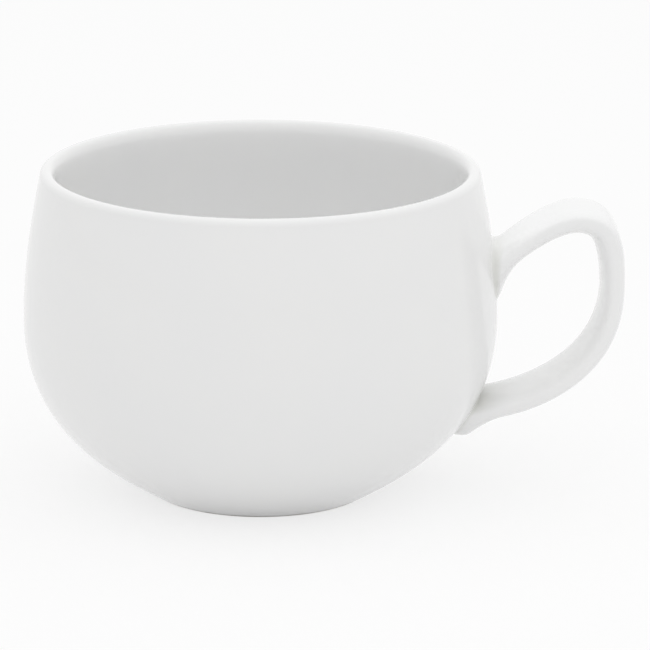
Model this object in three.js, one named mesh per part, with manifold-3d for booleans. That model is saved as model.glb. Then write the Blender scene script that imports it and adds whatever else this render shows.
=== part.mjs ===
// A white porcelain coffee cup: a round-bellied bowl on a low foot ring, with a strap handle
// whose flared ends are stuck to the belly by two pads of fired slip.
// Millimetres, +Z up, handle along +X. The origin lies under the middle of the overall box.

import * as THREE from 'three';
import { mergeVertices } from 'three/addons/utils/BufferGeometryUtils.js';
import Module from 'manifold-3d';

const wasm = await Module();
wasm.setup();

// Bowl. Heights are above the table, radii are from the axis of the bowl, angles are in degrees.
// The lip's power says how square it is: 2 makes it round, and more flattens its top and sides.
const CUP_HEIGHT = 60.1;
const BELLY_RADIUS = 43.3;
const BELLY_HEIGHT = 32.1;
const RIM_RADIUS = 40.1;
const RIM_LEAN = 6.4;
const LIP_THICKNESS = 2.8;
const LIP_POWER = 2.1;
const WALL_THICKNESS = 3.2;
const FLOOR_THICKNESS = 3.6;

// How far each curve of the bowl runs on along its end directions before it bends away.
const FOOT_RUN = 10.0;
const BELLY_RUN_DOWN = 19.2;
const BELLY_RUN_UP = 13.2;
const RIM_RUN = 1.6;
const INSIDE_RIM_RUN = 2.0;
const FLOOR_RUN = 24.0;
const INSIDE_RUN_DOWN = 20.5;

// Foot ring, with a shallow recess under the floor of the bowl.
const FOOT_RADIUS = 20.2;
const FOOT_RISE = 31.4;
const FOOT_EDGE_ROUND = 0.85;
const FOOT_RING_WIDTH = 3.4;
const RECESS_DEPTH = 1.6;
const RECESS_ROUND = 0.8;

// Handle: a strap that leaves the belly, rises to a crown, turns down at the knuckle and sweeps back
// to the belly. It follows the line along which it is widest, which lies under its outer face.
// Reaches are measured outwards from the widest point of the belly.
const HANDLE_WIDTH = 15.2;
const HANDLE_THICKNESS = 4.1;
const OUTER_EDGE_DEPTH = 2.0;
const UPPER_SEAT_HEIGHT = 40.75;
const UPPER_SEAT_DEPTH = 2.3;
const UPPER_SEAT_ANGLE = 37;
const CROWN_RISE = 10.3;
const CROWN_REACH = 14.6;
const KNUCKLE_DROP = 12.4;
const HANDLE_REACH = 20.95;
const LOWER_SEAT_HEIGHT = 15.3;
const LOWER_SEAT_DEPTH = 1.0;
const LOWER_SEAT_ANGLE = -5;

// How square each half of the strap's section is: 2 makes an ellipse, and more makes it squarer.
// The strap is domed inside, towards the finger, and flat outside, with edges that soften at its ends.
const INNER_POWER = 2.3;
const EDGE_POWER = 5.0;
const END_POWER = 2.6;
const END_POWER_FADE = 14.0;

// How far the strap's line runs on along its direction at each of its four turning points.
const UPPER_SEAT_RUN = 2.4;
const CROWN_RUN_IN = 6.0;
const CROWN_RUN_OUT = 6.3;
const KNUCKLE_RUN_IN = 6.6;
const KNUCKLE_RUN_OUT = 21.3;
const LOWER_SEAT_RUN = 0.8;

// Flares of the handle's ends: each one's growth at the seat, and the length over which it fades out.
// Over and under are as seen with the cup standing; sides are counted on each side.
const UPPER_OVER_GROWTH = 3.6;
const UPPER_OVER_FADE = 7.1;
const UPPER_UNDER_GROWTH = 3.0;
const UPPER_UNDER_FADE = 8.3;
const LOWER_UNDER_GROWTH = 3.15;
const LOWER_UNDER_FADE = 6.8;
const SIDE_GROWTH = 0.7;
const SIDE_FADE = 12.0;

// The strap is a little thicker on its inner face where it bends down past the crown.
const KNUCKLE_SWELL = 0.8;
const KNUCKLE_SWELL_OFFSET = 5.9;
const KNUCKLE_SWELL_LENGTH = 7.0;

// Slip pads between the handle and the belly, and the gap left between neighbouring pieces.
const SLIP_THICKNESS = 0.8;
const SLIP_BEAD = 0.5;
const CLEARANCE = 0.3;

// Facets.
const ROUND_FACETS = 64;
const OUTSIDE_STEPS = 13;
const INSIDE_STEPS = 12;
const RIM_STEPS = 8;
const EDGE_STEPS = 4;
const STRAP_STATIONS = 60;
const SECTION_POINTS = 24;
const WELD = 1e-4;

const GLAZED_WHITE = { color: 0xe6e6e4, roughness: 0.12, metalness: 0 };
const FIRED_SLIP = { color: 0xdedcd4, roughness: 0.3, metalness: 0 };

const rad = THREE.MathUtils.degToRad;
const point = (x, y) => new THREE.Vector2(x, y);

// A point at a distance from another one, along an angle given in degrees.
function along(start, angle, distance) {
  return point(start.x + distance * Math.cos(rad(angle)), start.y + distance * Math.sin(rad(angle)));
}

function arc(centre, radius, from, to) {
  const clockwise = to < from;
  return new THREE.EllipseCurve(centre.x, centre.y, radius, radius, rad(from), rad(to), clockwise);
}

// Bowl profile, in radius and height.
const lipRound = LIP_THICKNESS / 2;
const lipCentre = point(RIM_RADIUS - lipRound, CUP_HEIGHT - lipRound);
const rimOutside = along(lipCentre, RIM_LEAN, lipRound);
const rimInside = along(lipCentre, 180 - RIM_LEAN, lipRound);
const footEdgeCentre = point(FOOT_RADIUS, FOOT_EDGE_ROUND);
const footOutside = along(footEdgeCentre, FOOT_RISE - 90, FOOT_EDGE_ROUND);
const belly = point(BELLY_RADIUS, BELLY_HEIGHT);
const bellyInside = point(BELLY_RADIUS - WALL_THICKNESS, BELLY_HEIGHT);
const floorCentre = point(0, RECESS_DEPTH + FLOOR_THICKNESS);

const lowerOutside = new THREE.CubicBezierCurve(
  footOutside,
  along(footOutside, FOOT_RISE, FOOT_RUN),
  along(belly, -90, BELLY_RUN_DOWN),
  belly,
);
const upperOutside = new THREE.CubicBezierCurve(
  belly,
  along(belly, 90, BELLY_RUN_UP),
  along(rimOutside, RIM_LEAN - 90, RIM_RUN),
  rimOutside,
);
const upperInside = new THREE.CubicBezierCurve(
  rimInside,
  along(rimInside, -90 - RIM_LEAN, INSIDE_RIM_RUN),
  along(bellyInside, 90, BELLY_RUN_UP),
  bellyInside,
);
const lowerInside = new THREE.CubicBezierCurve(
  bellyInside,
  along(bellyInside, -90, INSIDE_RUN_DOWN),
  along(floorCentre, 0, FLOOR_RUN),
  floorCentre,
);

// The lip, from the outside over its top to the inside, which leans the other way.
class LipCurve extends THREE.Curve {
  getPoint(share) {
    const angle = Math.PI * share;
    const spot = point(squared(Math.cos(angle), LIP_POWER), squared(Math.sin(angle), LIP_POWER));
    spot.multiplyScalar(lipRound);
    return spot.rotateAround(point(0, 0), rad(RIM_LEAN) * Math.cos(angle)).add(lipCentre);
  }
}

// Joins curves into one list of points, without repeating the points where they meet.
function joinedPoints(pieces) {
  const points = [];
  for (const [curve, steps] of pieces) {
    const fresh = curve.getPoints(steps);
    points.push(...fresh.slice(points.length ? 1 : 0));
  }
  return points;
}

function bowlProfile() {
  const ringInside = FOOT_RADIUS - FOOT_RING_WIDTH;
  const recessCorner = point(ringInside - RECESS_ROUND, RECESS_DEPTH - RECESS_ROUND);
  const recessEdge = along(recessCorner, 90, RECESS_ROUND);
  const ringTop = along(recessCorner, 0, RECESS_ROUND);
  const ringFoot = point(ringInside, 0);
  return joinedPoints([
    [new THREE.LineCurve(point(0, RECESS_DEPTH), recessEdge), 1],
    [arc(recessCorner, RECESS_ROUND, 90, 0), EDGE_STEPS],
    [new THREE.LineCurve(ringTop, ringFoot), 1],
    [new THREE.LineCurve(ringFoot, point(FOOT_RADIUS, 0)), 1],
    [arc(footEdgeCentre, FOOT_EDGE_ROUND, -90, FOOT_RISE - 90), EDGE_STEPS],
    [lowerOutside, OUTSIDE_STEPS],
    [upperOutside, RIM_STEPS],
    [new LipCurve(), RIM_STEPS],
    [upperInside, RIM_STEPS],
    [lowerInside, INSIDE_STEPS],
  ]);
}

// Turns a profile round the axis and stands it up along Z.
function turned(profile) {
  return new THREE.LatheGeometry(profile, ROUND_FACETS).rotateX(Math.PI / 2);
}

// A filled copy of the bowl's outside, grown by a distance, which trims what is stuck to the belly.
function grownBowl(distance) {
  const outside = [];
  for (const [curve, steps] of [[lowerOutside, OUTSIDE_STEPS], [upperOutside, RIM_STEPS]]) {
    for (let step = outside.length ? 1 : 0; step <= steps; step += 1) {
      const tangent = curve.getTangent(step / steps);
      const outwards = point(tangent.y, -tangent.x);
      outside.push(curve.getPoint(step / steps).addScaledVector(outwards, distance));
    }
  }
  const bottom = point(0, outside[0].y);
  const top = point(0, outside[outside.length - 1].y);
  return solidOf(turned([bottom, ...outside, top]));
}

// Radius of the bowl's outside at a height, found by halving.
function bellyRadiusAt(height) {
  const curve = height < BELLY_HEIGHT ? lowerOutside : upperOutside;
  let low = 0;
  let high = 1;
  while (high - low > WELD) {
    const middle = (low + high) / 2;
    if (curve.getPoint(middle).y < height) low = middle;
    else high = middle;
  }
  return curve.getPoint(low).x;
}

// Turning points of the strap's line in its own upright plane: outwards from the axis, and upwards.
const upperSeat = point(bellyRadiusAt(UPPER_SEAT_HEIGHT) - UPPER_SEAT_DEPTH, UPPER_SEAT_HEIGHT);
const crown = point(BELLY_RADIUS + CROWN_REACH, UPPER_SEAT_HEIGHT + CROWN_RISE);
const knuckle = point(BELLY_RADIUS + HANDLE_REACH, crown.y - KNUCKLE_DROP);
const lowerSeat = point(bellyRadiusAt(LOWER_SEAT_HEIGHT) - LOWER_SEAT_DEPTH, LOWER_SEAT_HEIGHT);

// Both ends run on into the belly by the strap's thickness, and are trimmed to it later.
const strapLine = new THREE.CurvePath();
strapLine.curves.push(
  new THREE.LineCurve(along(upperSeat, UPPER_SEAT_ANGLE, -HANDLE_THICKNESS), upperSeat),
  new THREE.CubicBezierCurve(
    upperSeat,
    along(upperSeat, UPPER_SEAT_ANGLE, UPPER_SEAT_RUN),
    along(crown, 180, CROWN_RUN_IN),
    crown,
  ),
  new THREE.CubicBezierCurve(
    crown,
    along(crown, 0, CROWN_RUN_OUT),
    along(knuckle, 90, KNUCKLE_RUN_IN),
    knuckle,
  ),
  new THREE.CubicBezierCurve(
    knuckle,
    along(knuckle, -90, KNUCKLE_RUN_OUT),
    along(lowerSeat, LOWER_SEAT_ANGLE, LOWER_SEAT_RUN),
    lowerSeat,
  ),
  new THREE.LineCurve(lowerSeat, along(lowerSeat, LOWER_SEAT_ANGLE, -HANDLE_THICKNESS)),
);
const [upperSeatAt, crownAt, , lowerSeatAt, strapLength] = strapLine.getCurveLengths();

// Growth of a flare at a distance from its seat; it stays full on the seat's inner side.
function flared(growth, fade, distance) {
  const share = THREE.MathUtils.clamp(1 - distance / fade, 0, 1);
  return growth * share * share;
}

// Distances from the strap's line to its outer face, inner face and sides, and how square its edges are.
function strapHalves(distance) {
  const fromUpper = distance - upperSeatAt;
  const fromLower = lowerSeatAt - distance;
  const fromSwell = (distance - crownAt - KNUCKLE_SWELL_OFFSET) / KNUCKLE_SWELL_LENGTH;
  const outer = OUTER_EDGE_DEPTH
    + flared(UPPER_OVER_GROWTH, UPPER_OVER_FADE, fromUpper)
    + flared(LOWER_UNDER_GROWTH, LOWER_UNDER_FADE, fromLower);
  const inner = HANDLE_THICKNESS - OUTER_EDGE_DEPTH
    + flared(UPPER_UNDER_GROWTH, UPPER_UNDER_FADE, fromUpper)
    + KNUCKLE_SWELL * Math.exp(-(fromSwell ** 2));
  const side = HANDLE_WIDTH / 2
    + flared(SIDE_GROWTH, SIDE_FADE, fromUpper)
    + flared(SIDE_GROWTH, SIDE_FADE, fromLower);
  const fromEnd = Math.min(fromUpper, fromLower);
  const crispness = THREE.MathUtils.smoothstep(fromEnd, 0, END_POWER_FADE);
  const edgePower = THREE.MathUtils.lerp(END_POWER, EDGE_POWER, crispness);
  return { outer, inner, side, edgePower };
}

// One closed ring of the strap at a share of its length, grown by a bead all round.
function strapRing(share, bead) {
  const forwards = strapLine.getTangentAt(share);
  const outwards = point(-forwards.y, forwards.x);
  const { outer, inner, side, edgePower } = strapHalves(share * strapLength);
  const ring = [];
  for (let corner = 0; corner < SECTION_POINTS; corner += 1) {
    const angle = (2 * Math.PI * corner) / SECTION_POINTS;
    const outside = Math.cos(angle) > 0;
    const power = outside ? edgePower : INNER_POWER;
    const reach = (outside ? outer : inner) + bead;
    const spot = strapLine.getPointAt(share);
    spot.addScaledVector(outwards, reach * squared(Math.cos(angle), power));
    ring.push(new THREE.Vector3(spot.x, (side + bead) * squared(Math.sin(angle), power), spot.y));
  }
  return ring;
}

// Squares off a circle's coordinate, so that the strap and the lip are flat, with rounded corners.
function squared(coordinate, power) {
  return Math.sign(coordinate) * Math.abs(coordinate) ** (2 / power);
}

// Skins a row of rings and closes both ends.
function lofted(rings) {
  const corners = rings.flat();
  const faces = [];
  const around = SECTION_POINTS;
  for (let ring = 0; ring + 1 < rings.length; ring += 1) {
    for (let corner = 0; corner < around; corner += 1) {
      const a = ring * around + corner;
      const b = ring * around + ((corner + 1) % around);
      faces.push(a, a + around, b, b, a + around, b + around);
    }
  }
  const last = (rings.length - 1) * around;
  for (let corner = 1; corner + 1 < around; corner += 1) {
    faces.push(0, corner, corner + 1);
    faces.push(last, last + corner + 1, last + corner);
  }
  return new THREE.BufferGeometry().setFromPoints(corners).setIndex(faces);
}

// The strap between two shares of its length.
function strap(from, to, bead) {
  const stations = Math.ceil(STRAP_STATIONS * (to - from));
  const rings = [];
  for (let station = 0; station <= stations; station += 1) {
    rings.push(strapRing(from + ((to - from) * station) / stations, bead));
  }
  return solidOf(lofted(rings));
}

// A solid for trimming, from a geometry's welded corners.
function solidOf(geometry) {
  const bare = new THREE.BufferGeometry();
  bare.setAttribute('position', geometry.getAttribute('position'));
  bare.setIndex(geometry.getIndex());
  const welded = mergeVertices(bare, WELD);
  const index = welded.getIndex().array;
  const kept = [];
  for (let face = 0; face < index.length; face += 3) {
    const [a, b, c] = index.slice(face, face + 3);
    if (a !== b && b !== c && c !== a) kept.push(a, b, c);
  }
  const vertProperties = welded.getAttribute('position').array;
  return new wasm.Manifold(new wasm.Mesh({ numProp: 3, vertProperties, triVerts: Uint32Array.from(kept) }));
}

function geometryOf(solid) {
  const mesh = solid.getMesh();
  const geometry = new THREE.BufferGeometry();
  geometry.setAttribute('position', new THREE.Float32BufferAttribute(mesh.vertProperties, 3));
  return geometry.setIndex(Array.from(mesh.triVerts));
}

// The pad of slip that fills the joint between the belly and one end of the handle.
function slipPad(from, to) {
  const slipInside = grownBowl(CLEARANCE);
  const slipOutside = grownBowl(CLEARANCE + SLIP_THICKNESS);
  return geometryOf(strap(from, to, SLIP_BEAD).intersect(slipOutside).subtract(slipInside));
}

function trimmedHandle() {
  const seat = grownBowl(CLEARANCE + SLIP_THICKNESS + CLEARANCE);
  return geometryOf(strap(0, 1, 0).subtract(seat));
}

// The overall box is centred on the origin, so the bowl's axis stands back from it.
const handleTip = knuckle.x + OUTER_EDGE_DEPTH;
const axisOffset = (BELLY_RADIUS - handleTip) / 2;
const crownShare = crownAt / strapLength;

const coffeeCup = new THREE.Group();
coffeeCup.name = 'coffee_cup';

function addPiece(name, geometry, finish) {
  geometry.translate(axisOffset, 0, 0);
  const piece = new THREE.Mesh(geometry, new THREE.MeshStandardMaterial(finish));
  piece.name = name;
  coffeeCup.add(piece);
}

addPiece('cup_body', turned(bowlProfile()), GLAZED_WHITE);
addPiece('handle', trimmedHandle(), GLAZED_WHITE);
addPiece('upper_slip_joint', slipPad(0, crownShare), FIRED_SLIP);
addPiece('lower_slip_joint', slipPad(crownShare, 1), FIRED_SLIP);

export default coffeeCup;
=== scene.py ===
# %% [markdown]
# A plain white porcelain coffee cup. A potter makes it from two clay pieces: a bowl that is turned on a
# wheel, and a handle that is cast as a strap. The two are stuck together with liquid clay, called slip,
# dipped in glaze and fired. This lesson makes the same pieces in the same order, in the frame of the
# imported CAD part, so every piece lands where its CAD solid is.

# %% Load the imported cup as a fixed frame
import math

import bpy
import numpy as np
from mathutils import Matrix, Vector


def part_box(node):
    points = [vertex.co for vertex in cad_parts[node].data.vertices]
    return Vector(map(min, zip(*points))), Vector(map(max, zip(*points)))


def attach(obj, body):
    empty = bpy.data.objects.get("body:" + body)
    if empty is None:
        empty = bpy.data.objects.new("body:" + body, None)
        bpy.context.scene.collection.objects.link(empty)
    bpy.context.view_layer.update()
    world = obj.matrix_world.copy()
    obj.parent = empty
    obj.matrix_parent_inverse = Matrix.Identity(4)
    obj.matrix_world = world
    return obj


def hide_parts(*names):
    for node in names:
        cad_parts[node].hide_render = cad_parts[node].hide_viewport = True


MM = 0.001
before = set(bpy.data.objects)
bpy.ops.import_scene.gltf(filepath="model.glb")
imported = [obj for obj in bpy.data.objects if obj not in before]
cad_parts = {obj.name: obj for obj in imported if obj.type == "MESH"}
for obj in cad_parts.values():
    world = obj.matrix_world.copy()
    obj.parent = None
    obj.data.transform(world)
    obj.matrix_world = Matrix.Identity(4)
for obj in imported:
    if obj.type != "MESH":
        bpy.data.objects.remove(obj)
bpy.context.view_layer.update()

# %% [markdown]
# Sizes come first. What the frame can tell is read from it: where the bowl's axis stands, how wide the
# belly is and how high the lip. The rest repeats the driving sizes of the CAD source, in millimetres
# and degrees, because a scene reads nothing but the frame. Working in millimetres keeps the numbers
# readable; MM turns them into metres.

# %% Sizes of the bowl
bowl_low, bowl_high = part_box("cup_body")
AXIS_X = (bowl_low.x + bowl_high.x) / 2 / MM
BELLY_RADIUS = (bowl_high.y - bowl_low.y) / 2 / MM
CUP_HEIGHT = bowl_high.z / MM
BELLY_HEIGHT = 32.1
RIM_RADIUS = 40.1
RIM_LEAN = 6.4
LIP_THICKNESS = 2.8
WALL_THICKNESS = 3.2
FLOOR_THICKNESS = 3.6
FOOT_RUN = 10.0
BELLY_RUN_DOWN = 19.2
BELLY_RUN_UP = 13.2
RIM_RUN = 1.6
FLOOR_RUN = 24.0
INSIDE_RUN_DOWN = 20.5
FOOT_RADIUS = 20.2
FOOT_RISE = 31.4
FOOT_EDGE_ROUND = 0.85
FOOT_RING_WIDTH = 3.4
RECESS_DEPTH = 1.6
RECESS_ROUND = 0.8
print("belly radius", round(BELLY_RADIUS, 2), "height", round(CUP_HEIGHT, 2), "axis at x", round(AXIS_X, 2))

# %% [markdown]
# A profile is drawn flat, as a potter draws the template that shapes a bowl: radius to the right,
# height upwards. A few small helpers are enough. One steps from a point along an angle, one draws an
# arc, one draws a cubic curve, whose two middle points say how far the curve runs on along its end
# directions, and one joins stretches that share their end points.

# %% Helpers that draw a profile
def along(start, angle, distance):
    turn = math.radians(angle)
    return np.array(start) + distance * np.array([math.cos(turn), math.sin(turn)])


def arc(centre, radius, first, last, steps):
    turns = np.radians(np.linspace(first, last, steps + 1))
    return np.array(centre) + radius * np.column_stack([np.cos(turns), np.sin(turns)])


def cubic(start, leave, arrive, end, steps):
    share = np.linspace(0, 1, steps + 1)[:, None]
    rest = 1 - share
    return rest**3 * start + 3 * rest**2 * share * leave + 3 * rest * share**2 * arrive + share**3 * end


def joined(*stretches):
    return np.vstack([stretches[0]] + [stretch[1:] for stretch in stretches[1:]])


# %% [markdown]
# The outside of the bowl is one smooth line from the foot to the lip: it leaves the table at a slant,
# swells to the belly and leans in a little towards the rim. It could be traced point by point, but two
# cubic curves that meet at the belly need only a few sizes and stay smooth. The line is kept apart from
# the rest of the profile because the handle is fitted to it later.

# %% Outside of the bowl
CURVE_STEPS = 64
lip_round = LIP_THICKNESS / 2
lip_centre = np.array([RIM_RADIUS - lip_round, CUP_HEIGHT - lip_round])
rim_outside = along(lip_centre, RIM_LEAN, lip_round)
foot_edge = np.array([FOOT_RADIUS, FOOT_EDGE_ROUND])
foot_outside = along(foot_edge, FOOT_RISE - 90, FOOT_EDGE_ROUND)
belly = np.array([BELLY_RADIUS, BELLY_HEIGHT])
foot_to_belly = cubic(
    foot_outside, along(foot_outside, FOOT_RISE, FOOT_RUN),
    along(belly, -90, BELLY_RUN_DOWN), belly, CURVE_STEPS,
)
belly_to_rim = cubic(
    belly, along(belly, 90, BELLY_RUN_UP),
    along(rim_outside, RIM_LEAN - 90, RIM_RUN), rim_outside, CURVE_STEPS,
)
outside = joined(foot_to_belly, belly_to_rim)
print("outside line:", len(outside), "points, lip", round(2 * RIM_RADIUS, 1), "mm across")

# %% [markdown]
# The lip is rounded, a touch fuller than a circle: a circle's coordinates are raised to a power a
# little below one, which swells its shoulders. It leans with the wall on the outside. On the inside its
# round is longer and leans more, so it runs out slowly into the wall, as a wet sponge leaves it. The
# CAD solid has a shorter round there, but on glossy glaze that would end in too sharp a shade.

# %% The lip and the inside of the bowl
LIP_STEPS = 48
LIP_POWER = 2.1
LIP_INNER_RISE = 2.0
INSIDE_LEAN = 14.0
INSIDE_RIM_RUN = 3.0


def squared(coordinate, power):
    return np.sign(coordinate) * np.abs(coordinate) ** (2 / power)


lip_turns = np.linspace(math.pi, 0, LIP_STEPS + 1)
on_the_inside = np.cos(lip_turns) < 0
lip_leans = np.radians(np.where(on_the_inside, INSIDE_LEAN, RIM_LEAN)) * np.cos(lip_turns)
lip_rises = np.where(on_the_inside, LIP_INNER_RISE, lip_round)
lip_across = lip_round * squared(np.cos(lip_turns), LIP_POWER)
lip_up = lip_round - lip_rises * (1 - squared(np.sin(lip_turns), LIP_POWER))
lip = lip_centre + np.column_stack([
    lip_across * np.cos(lip_leans) - lip_up * np.sin(lip_leans),
    lip_across * np.sin(lip_leans) + lip_up * np.cos(lip_leans),
])
rim_inside = lip[0]
belly_inside = np.array([BELLY_RADIUS - WALL_THICKNESS, BELLY_HEIGHT])
bowl_floor = np.array([0, RECESS_DEPTH + FLOOR_THICKNESS])
floor_to_belly = cubic(
    bowl_floor, along(bowl_floor, 0, FLOOR_RUN),
    along(belly_inside, -90, INSIDE_RUN_DOWN), belly_inside, CURVE_STEPS,
)
belly_to_lip = cubic(
    belly_inside, along(belly_inside, 90, BELLY_RUN_UP),
    along(rim_inside, -90 - INSIDE_LEAN, INSIDE_RIM_RUN), rim_inside, CURVE_STEPS,
)
print("lip:", len(lip), "points, its inner round ends", round(CUP_HEIGHT - rim_inside[1], 2), "mm down")

# %% [markdown]
# The whole profile runs from the middle of the bowl's floor, up the inside, over the lip, down the
# outside and under the foot to the middle of the recess. Both ends lie on the axis, so the turned shape
# closes by itself. The foot ring is sponged too and keeps a small round on each edge.

# %% Whole profile, from the floor of the bowl to the recess under it
RING_EDGE_ROUND = 0.4
ROUND_STEPS = 16
ring_inside = FOOT_RADIUS - FOOT_RING_WIDTH
ring_edge = np.array([ring_inside + RING_EDGE_ROUND, RING_EDGE_ROUND])
recess_corner = np.array([ring_inside - RECESS_ROUND, RECESS_DEPTH - RECESS_ROUND])
foot_corner = arc(foot_edge, FOOT_EDGE_ROUND, FOOT_RISE - 90, -90, ROUND_STEPS)
ring_corner = arc(ring_edge, RING_EDGE_ROUND, -90, -180, ROUND_STEPS)
recess_round = arc(recess_corner, RECESS_ROUND, 0, 90, ROUND_STEPS)
recess_roof = np.linspace(recess_round[-1], [0, RECESS_DEPTH], ROUND_STEPS)
bowl_profile = joined(
    floor_to_belly, belly_to_lip, lip, outside[::-1], foot_corner,
    np.vstack([foot_corner[-1], ring_corner]), np.vstack([ring_corner[-1], recess_round]), recess_roof,
)
print("bowl profile:", len(bowl_profile), "points")

# %% [markdown]
# Geometry Nodes do the turning. Every tree in this lesson starts from a plain open tube, whose rings
# are told where to go, so a few helpers build the trees: one adds a node and fills its sockets with
# values or links, one does a sum, and one makes the tree with its named inputs. The last ones put a
# tree on a guide mesh, set the inputs by their identifiers and bake the result into a plain mesh with
# no modifier left.

# %% Helpers for node trees
def place(tree, kind, sockets=None, **settings):
    node = tree.nodes.new(kind)
    for name, value in settings.items():
        setattr(node, name, value)
    for name, value in (sockets or {}).items():
        if isinstance(value, bpy.types.NodeSocket):
            tree.links.new(value, node.inputs[name])
        else:
            node.inputs[name].default_value = value
    return node


def maths(tree, operation, *values):
    return place(tree, "ShaderNodeMath", dict(enumerate(values)), operation=operation).outputs[0]


def shaping_tree(name, inputs):
    tree = bpy.data.node_groups.new(name, "GeometryNodeTree")
    tree.interface.new_socket("Guide", in_out="INPUT", socket_type="NodeSocketGeometry")
    for label, kind in inputs.items():
        tree.interface.new_socket(label, in_out="INPUT", socket_type="NodeSocket" + kind)
    tree.interface.new_socket("Shape", in_out="OUTPUT", socket_type="NodeSocketGeometry")
    return tree, tree.nodes.new("NodeGroupInput").outputs


# %% Helpers that put a tree to work
def add_object(name, data):
    thing = bpy.data.objects.new(name, data)
    bpy.context.scene.collection.objects.link(thing)
    return thing


def baked(piece):
    graph = bpy.context.evaluated_depsgraph_get()
    mesh = bpy.data.meshes.new_from_object(piece.evaluated_get(graph))
    piece.modifiers.clear()
    piece.data = mesh
    mesh.name = piece.name
    return piece


def shaped(name, guide_points, tree, values, attributes=None):
    guide = bpy.data.meshes.new(name + "_guide")
    guide.from_pydata([tuple(point) for point in guide_points], [], [])
    for label, (kind, field, data) in (attributes or {}).items():
        guide.attributes.new(label, kind, "POINT").data.foreach_set(field, np.ravel(data))
    piece = add_object(name, guide)
    modifier = piece.modifiers.new(name, "NODES")
    modifier.node_group = tree
    for item in tree.interface.items_tree:
        if item.name in values:
            modifier[item.identifier] = values[item.name]
    return baked(piece)


# %% [markdown]
# A tube's corners are numbered ring by ring, so dividing a corner's number by the steps round gives its
# ring, and the remainder gives its place on that ring. Both trees need this, and both end in the same
# way: the corners that meet on an end are merged, the shape is shaded smooth, realized and given its
# glaze.

# %% Parts that both trees share
MERGE_DISTANCE = 1e-7


def ring_and_turn(tree, steps_round):
    index = place(tree, "GeometryNodeInputIndex").outputs["Index"]
    ring = maths(tree, "FLOOR", maths(tree, "DIVIDE", index, steps_round))
    step = maths(tree, "MODULO", index, steps_round)
    turn = maths(tree, "MULTIPLY", maths(tree, "DIVIDE", step, steps_round), 2 * math.pi)
    return ring, turn


def from_guide(tree, guide, value, ring, kind):
    sockets = {"Geometry": guide, "Value": value, "Index": ring}
    return place(tree, "GeometryNodeSampleIndex", sockets, data_type=kind, domain="POINT").outputs["Value"]


def guide_spot(tree, guide, ring):
    position = place(tree, "GeometryNodeInputPosition").outputs["Position"]
    return from_guide(tree, guide, position, ring, "FLOAT_VECTOR")


def moved_by(tree, spot, step):
    return place(tree, "ShaderNodeVectorMath", {0: spot, 1: step}, operation="ADD").outputs[0]


def finish_tube(tree, rings, steps_round, places, glaze):
    gaps = maths(tree, "SUBTRACT", rings, 1.0)
    tube = {"Vertices": steps_round, "Side Segments": gaps}
    shape = place(tree, "GeometryNodeMeshCylinder", tube, fill_type="NONE").outputs["Mesh"]
    for kind, sockets in (
        ("GeometryNodeSetPosition", {"Position": places}),
        ("GeometryNodeMergeByDistance", {"Distance": MERGE_DISTANCE}),
        ("GeometryNodeSetShadeSmooth", {"Shade Smooth": True}),
        ("GeometryNodeRealizeInstances", {}),
        ("GeometryNodeSetMaterial", {"Material": glaze}),
    ):
        shape = place(tree, kind, {"Geometry": shape, **sockets}).outputs[0]
    place(tree, "NodeGroupOutput", {"Shape": shape})


# %% [markdown]
# The wheel: each ring takes one point of the profile and turns it about the axis. A Spin or a Screw
# modifier could do it too, but the tree keeps the steps, the axis and the glaze as named inputs, and it
# is used a second time below, to cut the handle's ends to the belly.

# %% The potter's wheel as a node tree
def wheel_tree():
    tree, given = shaping_tree("potters_wheel", {
        "Profile Points": "Int", "Steps Round": "Int", "Axis": "Vector", "Glaze": "Material",
    })
    ring, turn = ring_and_turn(tree, given["Steps Round"])
    spot = {"Vector": guide_spot(tree, given["Guide"], ring), "Angle": turn}
    turned = place(tree, "ShaderNodeVectorRotate", spot, rotation_type="Z_AXIS").outputs[0]
    places = moved_by(tree, turned, given["Axis"])
    finish_tube(tree, given["Profile Points"], given["Steps Round"], places, given["Glaze"])
    return tree


potters_wheel = wheel_tree()


def thrown(name, profile, steps_round, glaze):
    points = [(radius * MM, 0.0, height * MM) for radius, height in profile]
    return shaped(name, points, potters_wheel, {
        "Profile Points": len(points), "Steps Round": steps_round,
        "Axis": (AXIS_X * MM, 0.0, 0.0), "Glaze": glaze,
    })


print("wheel:", len(potters_wheel.nodes), "nodes")

# %% [markdown]
# The glaze is needed now, because the trees hand it to their shapes. Fired glaze is a thin coat of
# glass: white from the clay under it, glossy, with a faint ripple like orange peel, clouds where it
# lies thicker and a few faint specks. It pools in inside corners and turns a touch warmer there; the
# darker tone given to those corners is also painted shade, for the shade that falls into them.
# Painted pictures could show this, but noise on the object's own coordinates needs no unwrapping and
# has no seams. One shader group makes it; each material places the group with its own values, and the
# shader stays in the material. Lengths in materials are in metres.

# %% Shader group for fired glaze
CLOUDS_PER_METRE = 55.0
CLOUD_DETAIL = 3.0
CLOUD_RANGE = (0.3, 0.7)
CLOUD_HAZE = 0.05
RIPPLES_PER_METRE = 620.0
RIPPLE_DETAIL = 1.5
SPECKS_PER_METRE = 260.0
SPECK_EDGE = (0.03, 0.07)
SPECK_STRENGTH = 0.05


def noise(tree, where, scale, detail):
    sockets = {"Vector": where, "Scale": scale, "Detail": detail}
    return place(tree, "ShaderNodeTexNoise", sockets).outputs["Fac"]


def ramp(tree, value, limits, first, last, **settings):
    sockets = {"Value": value, "From Min": limits[0], "From Max": limits[1], "To Min": first, "To Max": last}
    return place(tree, "ShaderNodeMapRange", sockets, **settings).outputs[0]


def tinted(tree, share, colour, other):
    return place(tree, "ShaderNodeMix", {0: share, 6: colour, 7: other}, data_type="RGBA").outputs[2]


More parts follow.
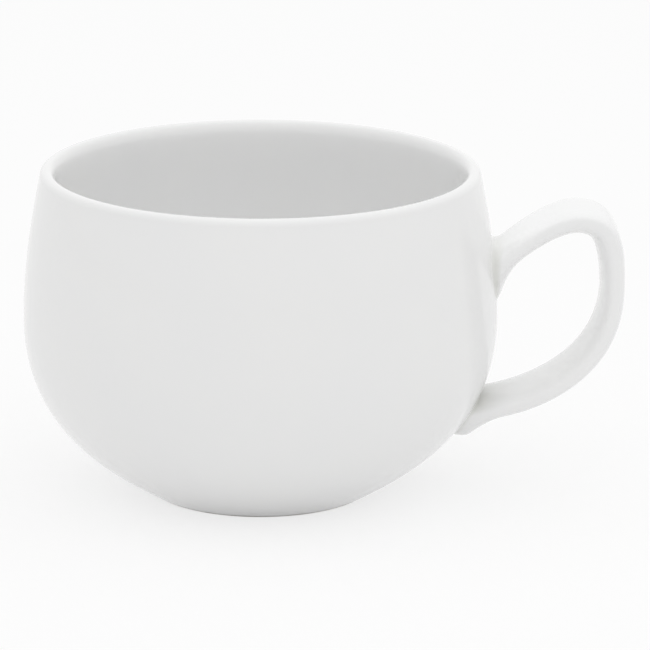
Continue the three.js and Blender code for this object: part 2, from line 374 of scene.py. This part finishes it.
def glaze_group():
    tree = bpy.data.node_groups.new("fired_glaze", "ShaderNodeTree")
    inputs = {"Thin": "Color", "Thick": "Color", "Pool And Shade Tone": "Color", "Pool And Shade Share": "Float", "Gloss": "Float"}
    for label, kind in inputs.items():
        tree.interface.new_socket(label, in_out="INPUT", socket_type="NodeSocket" + kind)
    for label, kind in {"Tone": "Color", "Roughness": "Float", "Ripple": "Float"}.items():
        tree.interface.new_socket(label, in_out="OUTPUT", socket_type="NodeSocket" + kind)
    given = tree.nodes.new("NodeGroupInput").outputs
    where = place(tree, "ShaderNodeTexCoord").outputs["Object"]
    clouds = noise(tree, where, CLOUDS_PER_METRE, CLOUD_DETAIL)
    ripple = noise(tree, where, RIPPLES_PER_METRE, RIPPLE_DETAIL)
    cells = place(tree, "ShaderNodeTexVoronoi", {"Vector": where, "Scale": SPECKS_PER_METRE})
    specks = ramp(
        tree, cells.outputs["Distance"], SPECK_EDGE, SPECK_STRENGTH, 0.0, interpolation_type="SMOOTHSTEP"
    )
    coat = tinted(tree, ramp(tree, clouds, CLOUD_RANGE, 0.0, 1.0), given["Thin"], given["Thick"])
    # The pool tone goes into the specks, and by the pooled share into creases, where it is partly painted
    # shade.
    tone = tinted(tree, given["Pool And Shade Share"], tinted(tree, specks, coat, given["Pool And Shade Tone"]), given["Pool And Shade Tone"])
    haze = maths(tree, "MULTIPLY_ADD", clouds, CLOUD_HAZE, given["Gloss"])
    place(tree, "NodeGroupOutput", {"Tone": tone, "Roughness": haze, "Ripple": ripple})
    return tree


fired_glaze = glaze_group()
print("glaze group:", len(fired_glaze.nodes), "nodes")

# %% [markdown]
# Two materials use the group. The plain one covers the handle and its joints, and reads an attribute
# that says where the glaze has pooled and where shade is painted. The handle has its own pair of tones,
# for thin and for thick glaze, a shade lighter than the bowl's: this is painted light, as the glaze is
# the same and the lift stands in for the light the thin handle catches.

# %% Glaze for the handle and its joints
# Painted light: these tones are lighter than the bowl's only to stand in for light on the handle.
HANDLE_COAT_PAINTED_LIGHTER = {"Thin": (0.949, 0.949, 0.944, 1.0), "Thick": (0.937, 0.939, 0.939, 1.0)}
# A darker, warmer tone: pooled glaze, and painted shade where it is laid into creases. Specks and the bare
# clay's grain use it too.
GLAZE_POOL_AND_SHADE = (0.760, 0.762, 0.728, 1.0)
GLAZE_GLOSS = 0.10
GLAZE_IOR = 1.5
RIPPLE_DEPTH = 0.00002
RIPPLE_STRENGTH = 0.35


def new_material(name):
    material = bpy.data.materials.new(name)
    material.use_nodes = True
    shader = material.node_tree.nodes["Principled BSDF"]
    shader.inputs["IOR"].default_value = GLAZE_IOR
    return material, material.node_tree, shader


def place_glaze(tree, values):
    values = {**values, "Pool And Shade Tone": GLAZE_POOL_AND_SHADE, "Gloss": GLAZE_GLOSS}
    coat = place(tree, "ShaderNodeGroup", values, node_tree=fired_glaze).outputs
    bump = {"Height": coat["Ripple"], "Strength": RIPPLE_STRENGTH, "Distance": RIPPLE_DEPTH}
    return coat["Tone"], coat["Roughness"], place(tree, "ShaderNodeBump", bump).outputs["Normal"]


def dress(tree, shader, tone, roughness, normal):
    for label, value in {"Base Color": tone, "Roughness": roughness, "Normal": normal}.items():
        tree.links.new(value, shader.inputs[label])


def handle_glaze():
    material, tree, shader = new_material("white_glaze")
    # This attribute holds pooled glaze and painted shade, in the joints' hollows and on the strap's lower
    # end.
    pooled_and_shade = place(tree, "ShaderNodeAttribute", attribute_name="pooled_and_shade").outputs["Fac"]
    dress(tree, shader, *place_glaze(tree, {**HANDLE_COAT_PAINTED_LIGHTER, "Pool And Shade Share": pooled_and_shade}))
    return material


white_glaze = handle_glaze()
print("material:", white_glaze.name)

# %% [markdown]
# The bowl's glaze also shows the bare ring of the foot: the glaze is wiped off there, so that the cup
# doesn't fuse to the kiln shelf, and the fired clay is matt, grainy and a little warm. A mask by height
# alone would do, but its edge would be too clean; noise makes it waver, as a wiped edge does.

# %% Glaze for the bowl, wiped off the foot ring
BOWL_COAT = {"Thin": (0.926, 0.926, 0.921, 1.0), "Thick": (0.914, 0.916, 0.916, 1.0)}
BARE_CLAY = (0.690, 0.655, 0.590, 1.0)
CLAY_ROUGHNESS = 0.8
GRAINS_PER_METRE = 2400.0
GRAIN_DETAIL = 4.0
WIPED_HEIGHT = 0.00035
WIPED_FADE = 0.00012
WAVER = 0.0004
WAVERS_PER_METRE = 220.0
WAVER_DETAIL = 2.0


def bowl_glaze():
    material, tree, shader = new_material("white_glaze_with_bare_foot")
    where = place(tree, "ShaderNodeTexCoord").outputs["Object"]
    height = place(tree, "ShaderNodeSeparateXYZ", {0: where}).outputs["Z"]
    wander = noise(tree, where, WAVERS_PER_METRE, WAVER_DETAIL)
    edge = maths(tree, "ADD", height, maths(tree, "MULTIPLY_ADD", wander, WAVER, -WAVER / 2))
    limits = WIPED_HEIGHT - WIPED_FADE, WIPED_HEIGHT + WIPED_FADE
    bare = ramp(tree, edge, limits, 1.0, 0.0, interpolation_type="SMOOTHSTEP")
    tone, gloss, normal = place_glaze(tree, BOWL_COAT)
    # The pool tone is reused here as the darker colour of the bare clay's grain.
    clay = tinted(tree, noise(tree, where, GRAINS_PER_METRE, GRAIN_DETAIL), BARE_CLAY, GLAZE_POOL_AND_SHADE)
    matt = {0: bare, 2: gloss, 3: CLAY_ROUGHNESS}
    roughness = place(tree, "ShaderNodeMix", matt, data_type="FLOAT").outputs[0]
    dress(tree, shader, tinted(tree, bare, tone, clay), roughness, normal)
    return material


bowl_white = bowl_glaze()
print("material:", bowl_white.name)

# %% [markdown]
# Now the bowl can be turned. Its wall, lip, floor and foot ring are one piece of clay, so they are one
# closed mesh, fine enough that the lip stays round in a close view. A closed mesh can also be weighed:
# the volume is the sum of the slim pyramids between its triangles and the origin.

# %% Turn the bowl
BOWL_STEPS_ROUND = 192


def volume(mesh):
    mesh.calc_loop_triangles()
    corners = [[mesh.vertices[corner].co for corner in face.vertices] for face in mesh.loop_triangles]
    first, second, third = np.array(corners).transpose(1, 0, 2)
    return float(np.einsum("ij,ij->i", first, np.cross(second, third)).sum() / 6)


bowl = thrown("porcelain_bowl", bowl_profile, BOWL_STEPS_ROUND, bowl_white)
print("bowl:", len(bowl.data.polygons), "faces,", round(volume(bowl.data) * 1e6, 1), "cm3 of clay")

# %% [markdown]
# The handle's strap follows a line in the upright plane through the bowl's axis. It leaves the belly
# rising, runs level over the crown, turns down at the knuckle and sweeps back to the belly. Each
# stretch is one cubic curve, and the ends run on into the belly, to be cut later as a potter cuts them.
# The line lies a little under the outer face, where the strap is widest.

# %% Sizes of the handle
HANDLE_WIDTH = 15.2
HANDLE_THICKNESS = 4.1
OUTER_EDGE_DEPTH = 2.0
UPPER_SEAT_HEIGHT = 40.75
UPPER_SEAT_DEPTH = 2.3
UPPER_SEAT_ANGLE = 37.0
CROWN_RISE = 10.3
CROWN_REACH = 14.6
KNUCKLE_DROP = 12.4
LOWER_SEAT_HEIGHT = 15.3
LOWER_SEAT_DEPTH = 1.0
LOWER_SEAT_ANGLE = -5.0
UPPER_SEAT_RUN = 2.4
CROWN_RUN_IN = 6.0
CROWN_RUN_OUT = 6.3
KNUCKLE_RUN_IN = 6.6
KNUCKLE_RUN_OUT = 21.3
LOWER_SEAT_RUN = 0.8
handle_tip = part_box("handle")[1].x / MM - AXIS_X
HANDLE_REACH = handle_tip - BELLY_RADIUS - OUTER_EDGE_DEPTH
print("the strap's line reaches", round(HANDLE_REACH, 2), "mm past the belly")

# %% Line of the strap
LINE_STEPS = 240


def belly_radius_at(height):
    return float(np.interp(height, outside[:, 1], outside[:, 0]))


def length_of(line):
    return float(np.hypot(*np.diff(line, axis=0).T).sum())


upper_seat = np.array([belly_radius_at(UPPER_SEAT_HEIGHT) - UPPER_SEAT_DEPTH, UPPER_SEAT_HEIGHT])
lower_seat = np.array([belly_radius_at(LOWER_SEAT_HEIGHT) - LOWER_SEAT_DEPTH, LOWER_SEAT_HEIGHT])
crown = np.array([BELLY_RADIUS + CROWN_REACH, UPPER_SEAT_HEIGHT + CROWN_RISE])
knuckle = np.array([BELLY_RADIUS + HANDLE_REACH, crown[1] - KNUCKLE_DROP])
upper_tail = np.linspace(along(upper_seat, UPPER_SEAT_ANGLE, -HANDLE_THICKNESS), upper_seat, LINE_STEPS)
lower_tail = np.linspace(lower_seat, along(lower_seat, LOWER_SEAT_ANGLE, -HANDLE_THICKNESS), LINE_STEPS)
rising = along(upper_seat, UPPER_SEAT_ANGLE, UPPER_SEAT_RUN)
landing = along(lower_seat, LOWER_SEAT_ANGLE, LOWER_SEAT_RUN)
rise = cubic(upper_seat, rising, along(crown, 180, CROWN_RUN_IN), crown, LINE_STEPS)
bend = cubic(
    crown, along(crown, 0, CROWN_RUN_OUT), along(knuckle, 90, KNUCKLE_RUN_IN), knuckle, LINE_STEPS
)
sweep = cubic(knuckle, along(knuckle, -90, KNUCKLE_RUN_OUT), landing, lower_seat, LINE_STEPS)
upper_seat_at = length_of(upper_tail)
crown_at = upper_seat_at + length_of(rise)
lower_seat_at = crown_at + length_of(bend) + length_of(sweep)
strap_line = joined(upper_tail, rise, bend, sweep, lower_tail)
strap_length = length_of(strap_line)
print("strap:", round(lower_seat_at - upper_seat_at, 1), "mm from seat to seat")

# %% [markdown]
# The line is walked in equal steps, called stations. The strap has the same thickness and width along
# most of its way, and is a little thicker inside the knuckle. Where it meets the belly it flares: at
# the upper end on both faces, at the lower end on the outer one, and a little at the sides. Its section
# is flat outside, with crisp edges that soften near the belly, and domed inside, where the finger lies.
# At each station three numbers say how far the outer face, the inner face and the sides lie from the
# line, and a fourth how square the outer edges are. A flare is written as how much it grows and over
# what length it fades.

# %% Stations along the line
STATIONS = 200
walked = np.concatenate([[0], np.cumsum(np.hypot(*np.diff(strap_line, axis=0).T))])
station_at = np.linspace(0, strap_length, STATIONS)
centres = np.column_stack([np.interp(station_at, walked, strap_line[:, axis]) for axis in (0, 1)])
forwards = np.gradient(centres, axis=0)
forwards /= np.hypot(*forwards.T)[:, None]
outwards = np.column_stack([-forwards[:, 1], forwards[:, 0]])
from_upper = station_at - upper_seat_at
from_lower = lower_seat_at - station_at
print("stations:", STATIONS, "every", round(strap_length / (STATIONS - 1), 2), "mm")

# %% Half sizes of the strap at each station
UPPER_FLARE_OUTSIDE = (3.6, 7.1)
UPPER_FLARE_INSIDE = (3.0, 8.3)
LOWER_FLARE_OUTSIDE = (3.15, 6.8)
SIDE_FLARE = (0.7, 12.0)
KNUCKLE_SWELL = 0.8
SWELL_OFFSET = 5.9
SWELL_LENGTH = 7.0
EDGE_POWER = 5.0
END_POWER = 2.6
END_POWER_FADE = 14.0


def flared(flare, distance):
    growth, fade = flare
    return growth * np.clip(1 - distance / fade, 0, 1) ** 2


swell = KNUCKLE_SWELL * np.exp(-(((station_at - crown_at - SWELL_OFFSET) / SWELL_LENGTH) ** 2))
flares_outside = flared(UPPER_FLARE_OUTSIDE, from_upper) + flared(LOWER_FLARE_OUTSIDE, from_lower)
outer_half = OUTER_EDGE_DEPTH + flares_outside
inner_half = HANDLE_THICKNESS - OUTER_EDGE_DEPTH + flared(UPPER_FLARE_INSIDE, from_upper) + swell
side_half = HANDLE_WIDTH / 2 + flared(SIDE_FLARE, from_upper) + flared(SIDE_FLARE, from_lower)
crisp = np.clip(np.minimum(from_upper, from_lower) / END_POWER_FADE, 0, 1)
edge_power = END_POWER + (EDGE_POWER - END_POWER) * crisp**2 * (3 - 2 * crisp)
thickness = outer_half + inner_half
print("strap", thickness.min().round(2), "to", thickness.max().round(2), "mm thick")

# %% [markdown]
# A second tree puts a ring at every station of the line. A circle's coordinates are raised to a power,
# which squares them off and leaves rounded corners: a high power on the outer half of the ring, a low
# one on the inner half. The guide's points carry the half sizes as attributes. One more point of no
# size at each end makes the ring there shrink to a point and close the strap. A curve object with a
# bevel could sweep the line too, but its section could only grow or shrink as a whole, not change its
# form.

# %% The strap as a node tree
def squared_off(tree, wave, power):
    raised = maths(tree, "POWER", maths(tree, "ABSOLUTE", wave), power)
    return maths(tree, "MULTIPLY", raised, maths(tree, "SIGN", wave))


def strap_tree():
    tree, given = shaping_tree("strap_on_line", {
        "Stations": "Int", "Steps Round": "Int", "Inner Power": "Float", "Glaze": "Material",
    })
    ring, turn = ring_and_turn(tree, given["Steps Round"])
    cosine = maths(tree, "COSINE", turn)
    sine = maths(tree, "SINE", turn)
    on_outer_half = maths(tree, "GREATER_THAN", cosine, 0.0)

    def guide_value(label, kind="FLOAT"):
        field = place(tree, "GeometryNodeInputNamedAttribute", {"Name": label}, data_type=kind)
        return from_guide(tree, given["Guide"], field.outputs["Attribute"], ring, kind)

    def by_half(inner, outer):
        sockets = {0: on_outer_half, 2: inner, 3: outer}
        return place(tree, "ShaderNodeMix", sockets, data_type="FLOAT").outputs[0]

    power = maths(tree, "DIVIDE", 2.0, by_half(given["Inner Power"], guide_value("edge_power")))
    reach = by_half(guide_value("inner_half"), guide_value("outer_half"))
    thick = maths(tree, "MULTIPLY", squared_off(tree, cosine, power), reach)
    wide = maths(tree, "MULTIPLY", squared_off(tree, sine, power), guide_value("side_half"))
    lift = {0: guide_value("outwards", "FLOAT_VECTOR"), "Scale": thick}
    lift = place(tree, "ShaderNodeVectorMath", lift, operation="SCALE").outputs[0]
    spread = place(tree, "ShaderNodeCombineXYZ", {"Y": wide}).outputs[0]
    places = moved_by(tree, moved_by(tree, guide_spot(tree, given["Guide"], ring), lift), spread)
    finish_tube(tree, given["Stations"], given["Steps Round"], places, given["Glaze"])
    return tree


strap_on_line = strap_tree()
print("strap tree:", len(strap_on_line.nodes), "nodes")

# %% Cast the strap
STRAP_STEPS_ROUND = 96
INNER_POWER = 2.3
ends = [0, *range(STATIONS), STATIONS - 1]
closing = np.ones(len(ends))
closing[[0, -1]] = 0.0
guide_points = [((AXIS_X + radius) * MM, 0.0, height * MM) for radius, height in centres[ends]]
upright = np.column_stack([outwards[:, 0], np.zeros(STATIONS), outwards[:, 1]])
strap = shaped("ear_handle", guide_points, strap_on_line, {
    "Stations": len(ends), "Steps Round": STRAP_STEPS_ROUND,
    "Inner Power": INNER_POWER, "Glaze": white_glaze,
}, {
    "outwards": ("FLOAT_VECTOR", "vector", upright[ends]),
    "outer_half": ("FLOAT", "value", outer_half[ends] * closing * MM),
    "inner_half": ("FLOAT", "value", inner_half[ends] * closing * MM),
    "side_half": ("FLOAT", "value", side_half[ends] * closing * MM),
    "edge_power": ("FLOAT", "value", edge_power[ends]),
})
print("strap:", len(strap.data.polygons), "faces,", round(volume(strap.data) * 1e6, 2), "cm3 untrimmed")

# %% [markdown]
# A potter cuts the ends of the handle to the curve of the belly before sticking it on. Here a filled
# copy of the bowl's outside, a millimetre smaller, is taken away from the strap. The ends then reach a
# millimetre into the wall and never show inside the bowl. The strap's rings are kept first, because the
# joints are fitted to them.

# %% Keep the rings, then trim the ends to the belly
TRIM_DEPTH = 1.0


def points_of(piece):
    return np.array([corner.co for corner in piece.data.vertices]) / MM - [AXIS_X, 0, 0]


def outline_normals(line):
    slope = np.gradient(line, axis=0)
    slope /= np.hypot(*slope.T)[:, None]
    return np.column_stack([slope[:, 1], -slope[:, 0]])


rings = points_of(strap)[1:-1].reshape(STATIONS, STRAP_STEPS_ROUND, 3)
shrunk = outside - outline_normals(outside) * TRIM_DEPTH
seat_profile = np.vstack([[0, shrunk[-1, 1]], shrunk[::-1], [0, shrunk[0, 1]]])
seat = thrown("belly_cutter", seat_profile, BOWL_STEPS_ROUND, white_glaze)
trim = strap.modifiers.new("trim_to_belly", "BOOLEAN")
trim.operation = "DIFFERENCE"
trim.solver = "EXACT"
trim.object = seat
baked(strap)
bpy.data.objects.remove(seat)
print("handle:", len(strap.data.polygons), "faces,", round(volume(strap.data) * 1e6, 2), "cm3 trimmed")

# %% [markdown]
# The slip that sticks the handle on is wiped smooth with a finger, and the glaze rounds it further, so
# the strap runs into the belly in a hollow curve. To draw that curve, two things are needed at any
# point: how far it lies from the belly and which way the belly's skin faces there. Both come from the
# outside line, turned round the axis. The directions in which the strap's own skin faces come from its
# rings.

# %% How far a point lies from the belly
def belly_distance(points):
    flat = np.column_stack([np.hypot(points[:, 0], points[:, 1]), points[:, 2]])
    starts = outside[:-1]
    runs = np.diff(outside, axis=0)
    share = np.einsum("ijk,jk->ij", flat[:, None] - starts, runs) / (runs**2).sum(1)
    feet = starts + np.clip(share, 0, 1)[..., None] * runs
    nearest = ((flat[:, None] - feet) ** 2).sum(2).argmin(1)
    foot = feet[np.arange(len(flat)), nearest]
    run = runs[nearest]
    normal = np.column_stack([run[:, 1], -run[:, 0]]) / np.hypot(*run.T)[:, None]
    distance = ((flat - foot) * normal).sum(1)
    spin = points[:, :2] / flat[:, :1]
    facing = np.column_stack([spin * normal[:, :1], normal[:, 1]])
    return distance, facing


along_strap = np.gradient(rings, axis=0)
round_strap = np.roll(rings, -1, axis=1) - np.roll(rings, 1, axis=1)
strap_facing = np.cross(along_strap, round_strap)
strap_facing /= np.linalg.norm(strap_facing, axis=2, keepdims=True)
finger_room = belly_distance(rings[STATIONS // 2])[0].min()
print("middle of the strap:", finger_room.round(1), "mm from the belly")

# %% [markdown]
# Glaze runs down before it sets and gathers on the ledge that the handle's lower end makes under the
# belly. The darker tone there is partly that glaze and partly painted shade, for the shade that the
# belly and the strap cast into that corner. So every point of the strap gets a number for how much
# pooled glaze and painted shade lies on it: more the nearer it is to the belly and the more its face
# looks up. Painting it by hand would do too, but the rule follows the shape by itself.

# %% Pooled glaze and painted shade on the lower end
LEDGE_SHADE_REACH = 7.0


def ledge_pool_and_shade(points, facing):
    near = np.clip(1 - belly_distance(points)[0] / LEDGE_SHADE_REACH, 0, 1) ** 2
    return near * np.clip(facing[:, 2], 0, 1) * (points[:, 2] < BELLY_HEIGHT)


def keep_pooled_and_shade(mesh, amounts):
    mesh.attributes.new("pooled_and_shade", "FLOAT", "POINT").data.foreach_set("value", np.ravel(amounts))


strap_normals = np.array([corner.normal for corner in strap.data.vertices])
strap_pooled_and_shade = ledge_pool_and_shade(points_of(strap), strap_normals)
keep_pooled_and_shade(strap.data, strap_pooled_and_shade)
# The print counts the strap's points that carry pooled glaze and painted shade.
print("glaze lies on", int((strap_pooled_and_shade > 0).sum()), "of", len(strap_pooled_and_shade), "points of the strap")

# %% [markdown]
# Now the hollow curves. For every line along the strap, the curve starts a little way up the strap,
# ends a little way out on the belly and leaves both along their own directions, so no crease shows. Its
# two edges are tucked a hair under the skins, and the row closes inside the clay. Rounding the edge
# with a bevel would need the two meshes joined; this keeps the three pieces apart.

# %% Draw the hollow curve at one line of the strap
CURVE_HOLD = 0.62
BLEND_STEPS = 14
TUCK_LENGTH = 0.5
TUCK_DEPTH = 0.02
ROOT_DEPTH = 0.6


def unit(vector):
    return vector / np.linalg.norm(vector)


def blend_row(line, facing, up_strap, out_on_belly):
    depth = belly_distance(line)[0]
    last = int(np.argmax(depth < 0))
    share = depth[last - 1] / (depth[last - 1] - depth[last])
    meet = line[last - 1] + share * (line[last] - line[last - 1])
    path = np.vstack([meet, line[last - 1::-1]])
    gone = np.concatenate([[0], np.cumsum(np.linalg.norm(np.diff(path, axis=0), axis=1))])

    def on_strap(distance):
        return np.array([np.interp(distance, gone, path[:, axis]) for axis in range(3)])

    start = on_strap(up_strap)
    inwards = unit(on_strap(up_strap - TUCK_LENGTH) - on_strap(up_strap + TUCK_LENGTH))
    strap_out = facing[last - int(np.searchsorted(gone, up_strap))]
    belly_out = belly_distance(meet[None])[1][0]
    spread = unit(facing[last] - (facing[last] @ belly_out) * belly_out)

    def on_belly(distance):
        spot = meet + spread * distance
        height, out = belly_distance(spot[None])
        return spot - height[0] * out[0], out[0]

    end = on_belly(out_on_belly)[0]
    beyond, beyond_out = on_belly(out_on_belly + TUCK_LENGTH)
    outgoing = unit(beyond - end)
    leave = start + inwards * (CURVE_HOLD * up_strap)
    arrive = end - outgoing * (CURVE_HOLD * out_on_belly)
    above = start - inwards * TUCK_LENGTH
    row = np.vstack([
        above - strap_out * TUCK_DEPTH,
        cubic(start, leave, arrive, end, BLEND_STEPS),
        beyond - beyond_out * TUCK_DEPTH,
        beyond - beyond_out * ROOT_DEPTH,
        meet - (strap_out + belly_out) * ROOT_DEPTH,
        above - strap_out * ROOT_DEPTH,
    ])
    return row, strap_out


# %% [markdown]
# Each joint is a closed ring of such rows. Three numbers are given for the strap's outer face, its
# inner face and its sides: how far the curve reaches up the strap, how far out on the belly, and how
# dark the hollow is made, as pooled glaze and painted shade in the crease. The upper joint is wiped
# wider than the lower one.

# %% Build the two slip joints
UPPER_BLEND = {"outer": (2.6, 1.9, 0.5), "inner": (0.8, 0.6, 1.0), "side": (2.2, 1.4, 0.9)}
LOWER_BLEND = {"outer": (0.7, 0.6, 0.2), "inner": (0.5, 0.4, 1.0), "side": (1.0, 0.6, 0.5)}
FACE_SHARPNESS = 4


def round_the_strap(blend):
    turns = 2 * math.pi * np.arange(STRAP_STEPS_ROUND) / STRAP_STEPS_ROUND
    across = squared(np.cos(turns), END_POWER)[:, None]
    face = np.where(across > 0, blend["outer"], blend["inner"])
    return np.array(blend["side"]) + (face - blend["side"]) * across**FACE_SHARPNESS


# Pooled glaze and painted shade: darkest in the middle of each hollow, plus the painted shade of the lower
# ledge.
def pooled_and_shade_on(rows, facing, strengths):
    down = np.linspace(0, 1, BLEND_STEPS + 1)
    hollow = strengths[:, None] * np.sin(math.pi * down)
    ledge = ledge_pool_and_shade(rows[:, 1], np.array(facing))[:, None] * (1 - down)
    pooled_and_shade = np.zeros(rows.shape[:2])
    pooled_and_shade[:, 1:BLEND_STEPS + 2] = hollow + ledge
    return np.clip(pooled_and_shade, 0, 1)


def slip_joint(name, stations, blend):
    reaches = round_the_strap(blend)
    rows, facing = zip(*[
        blend_row(rings[stations, step], strap_facing[stations, step], up_strap, out_on_belly)
        for step, (up_strap, out_on_belly, _) in enumerate(reaches)
    ])
    rows = np.array(rows)
    turns, points = rows.shape[:2]

    def corner(turn, point):
        return (turn % turns) * points + point % points

    faces = [
        (corner(turn, point), corner(turn, point + 1), corner(turn + 1, point + 1), corner(turn + 1, point))
        for turn in range(turns) for point in range(points)
    ]
    spots = ((rows + [AXIS_X, 0, 0]) * MM).reshape(-1, 3)
    mesh = bpy.data.meshes.new(name)
    mesh.from_pydata([tuple(spot) for spot in spots], [], faces)
    keep_pooled_and_shade(mesh, pooled_and_shade_on(rows, facing, reaches[:, 2]))
    if volume(mesh) < 0:
        mesh.flip_normals()
    mesh.shade_smooth()
    mesh.materials.append(white_glaze)
    print(name + ":", len(mesh.polygons), "faces,", round(volume(mesh) * 1e9, 1), "mm3")
    return add_object(name, mesh)


crown_station = int(np.searchsorted(station_at, crown_at))
upper_joint = slip_joint("upper_slip_fillet", np.arange(crown_station, -1, -1), UPPER_BLEND)
lower_joint = slip_joint("lower_slip_fillet", np.arange(crown_station, STATIONS), LOWER_BLEND)

# %% [markdown]
# Each piece is hung on the cup's one body, and the CAD node it stands for is hidden. The cup has no
# moving parts, so everything rides on that one body.

# %% Hand the pieces to the frame
for piece, node, finish in (
    (bowl, "cup_body", "glazed_porcelain"),
    (strap, "handle", "glazed_porcelain"),
    (upper_joint, "upper_slip_joint", "fired_slip"),
    (lower_joint, "lower_slip_joint", "fired_slip"),
):
    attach(piece, "root")
    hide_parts(node)
    print(piece.name, "stands for", node)

# %% [markdown]
# The cup stands on a plain white floor. The floor mixes a plain matt white, which takes the cup's
# shadow, with a white of its own where the camera or a reflection looks at it, so that the background
# stays white without more light on the cup.

# %% Floor
FLOOR_RADIUS = 3.0
FLOOR_STEPS = 96
FLOOR_WHITE = (0.96, 0.96, 0.96, 1.0)
SEEN_WHITE = 0.74


def seen_directly(tree):
    path = place(tree, "ShaderNodeLightPath").outputs
    mirrored = maths(tree, "MAXIMUM", path["Is Glossy Ray"], path["Is Transmission Ray"])
    return maths(tree, "MAXIMUM", path["Is Camera Ray"], mirrored)


def floor_white():
    material = bpy.data.materials.new("floor_white")
    material.use_nodes = True
    tree = material.node_tree
    tree.nodes.remove(tree.nodes["Principled BSDF"])
    matt = place(tree, "ShaderNodeBsdfDiffuse", {"Color": FLOOR_WHITE}).outputs[0]
    glow = place(tree, "ShaderNodeEmission", {"Strength": 1.0}).outputs[0]
    share = maths(tree, "MULTIPLY", seen_directly(tree), SEEN_WHITE)
    mixed = place(tree, "ShaderNodeMixShader", {0: share, 1: matt, 2: glow}).outputs[0]
    tree.links.new(mixed, tree.nodes["Material Output"].inputs["Surface"])
    return material


turns = np.linspace(0, 2 * math.pi, FLOOR_STEPS, endpoint=False)
floor_edge = [(FLOOR_RADIUS * math.cos(turn), FLOOR_RADIUS * math.sin(turn), 0.0) for turn in turns]
floor_mesh = bpy.data.meshes.new("floor")
floor_mesh.from_pydata(floor_edge, [], [tuple(range(FLOOR_STEPS))])
floor_mesh.materials.append(floor_white())
floor = add_object("floor", floor_mesh)
print("floor:", 2 * FLOOR_RADIUS, "m across")

# %% [markdown]
# The light comes from all sides, as in a photographer's tent, and a little more from one large softbox
# above and slightly in front. The tent is plain white where it is seen or mirrored, and gives less
# light than that, and the softbox isn't mirrored. Small lamps would draw hard shadows and hot spots on
# the glaze; these lights leave it calm.

# %% Light
WHITE = (1.0, 1.0, 1.0, 1.0)
TENT_LIGHT = 0.605
SOFTBOX_WATTS = 11.4
SOFTBOX_SIZE = 2.4
SOFTBOX_PLACE = Vector((0.08, -0.1, 1.2))


def tent():
    world = bpy.data.worlds.new("light_tent")
    world.use_nodes = True
    tree = world.node_tree
    lighting = tree.nodes["Background"]
    lighting.inputs["Color"].default_value = WHITE
    lighting.inputs["Strength"].default_value = TENT_LIGHT
    seen = place(tree, "ShaderNodeBackground", {"Color": WHITE, "Strength": 1.0}).outputs[0]
    parts = {0: seen_directly(tree), 1: lighting.outputs[0], 2: seen}
    mixed = place(tree, "ShaderNodeMixShader", parts).outputs[0]
    tree.links.new(mixed, tree.nodes["World Output"].inputs["Surface"])
    return world


bpy.context.scene.world = tent()
softbox = bpy.data.lights.new("softbox", "AREA")
softbox.shape = "SQUARE"
softbox.size = SOFTBOX_SIZE
softbox.energy = SOFTBOX_WATTS
lamp = add_object("softbox", softbox)
towards_cup = SOFTBOX_PLACE.to_track_quat("Z", "Y").to_matrix().to_4x4()
lamp.matrix_world = Matrix.Translation(SOFTBOX_PLACE) @ towards_cup
lamp.visible_glossy = False
bpy.context.scene.view_settings.view_transform = "Standard"
print("softbox:", SOFTBOX_SIZE, "m wide,", round(SOFTBOX_PLACE.length, 2), "m from the cup")

# %% [markdown]
# The camera looks from the side, a little above, through a long lens, so the cup shows almost no
# perspective. It stands square to the handle's plane. The cup isn't in the middle of the picture, so
# the camera is turned a little to the right and down from the bowl's axis. The offsets and the focal
# length are in pixels of a square picture, and the distances in millimetres.

# %% Camera
IMAGE_PIXELS = 650
SENSOR_WIDTH = 36.0
FOCAL_PIXELS = 4244.6
CAMERA_DISTANCE = 777.6
CAMERA_ELEVATION = 15.36
AIM_HEIGHT = 32.4
AXIS_LEFT_OF_CENTRE = 64.35
AIM_ABOVE_CENTRE = 10.8

tilt = math.radians(CAMERA_ELEVATION)
forward = Vector((0.0, math.cos(tilt), -math.sin(tilt)))
right = Vector((1.0, 0.0, 0.0))
up = Vector((0.0, math.sin(tilt), math.cos(tilt)))
eye = Vector((AXIS_X, 0.0, AIM_HEIGHT)) * MM - forward * CAMERA_DISTANCE * MM
turned_right = forward + right * (AXIS_LEFT_OF_CENTRE / FOCAL_PIXELS)
aim = (turned_right - up * (AIM_ABOVE_CENTRE / FOCAL_PIXELS)).normalized()
level = (right - aim * right.dot(aim)).normalized()
camera_data = bpy.data.cameras.new("camera")
camera_data.sensor_width = SENSOR_WIDTH
camera_data.lens = SENSOR_WIDTH * FOCAL_PIXELS / IMAGE_PIXELS
camera = add_object("camera", camera_data)
facing_cup = Matrix((level, level.cross(aim), -aim)).transposed().to_4x4()
camera.matrix_world = Matrix.Translation(eye) @ facing_cup
bpy.context.scene.camera = camera
print("lens", round(camera_data.lens, 1), "mm, camera", [round(part / MM) for part in eye])
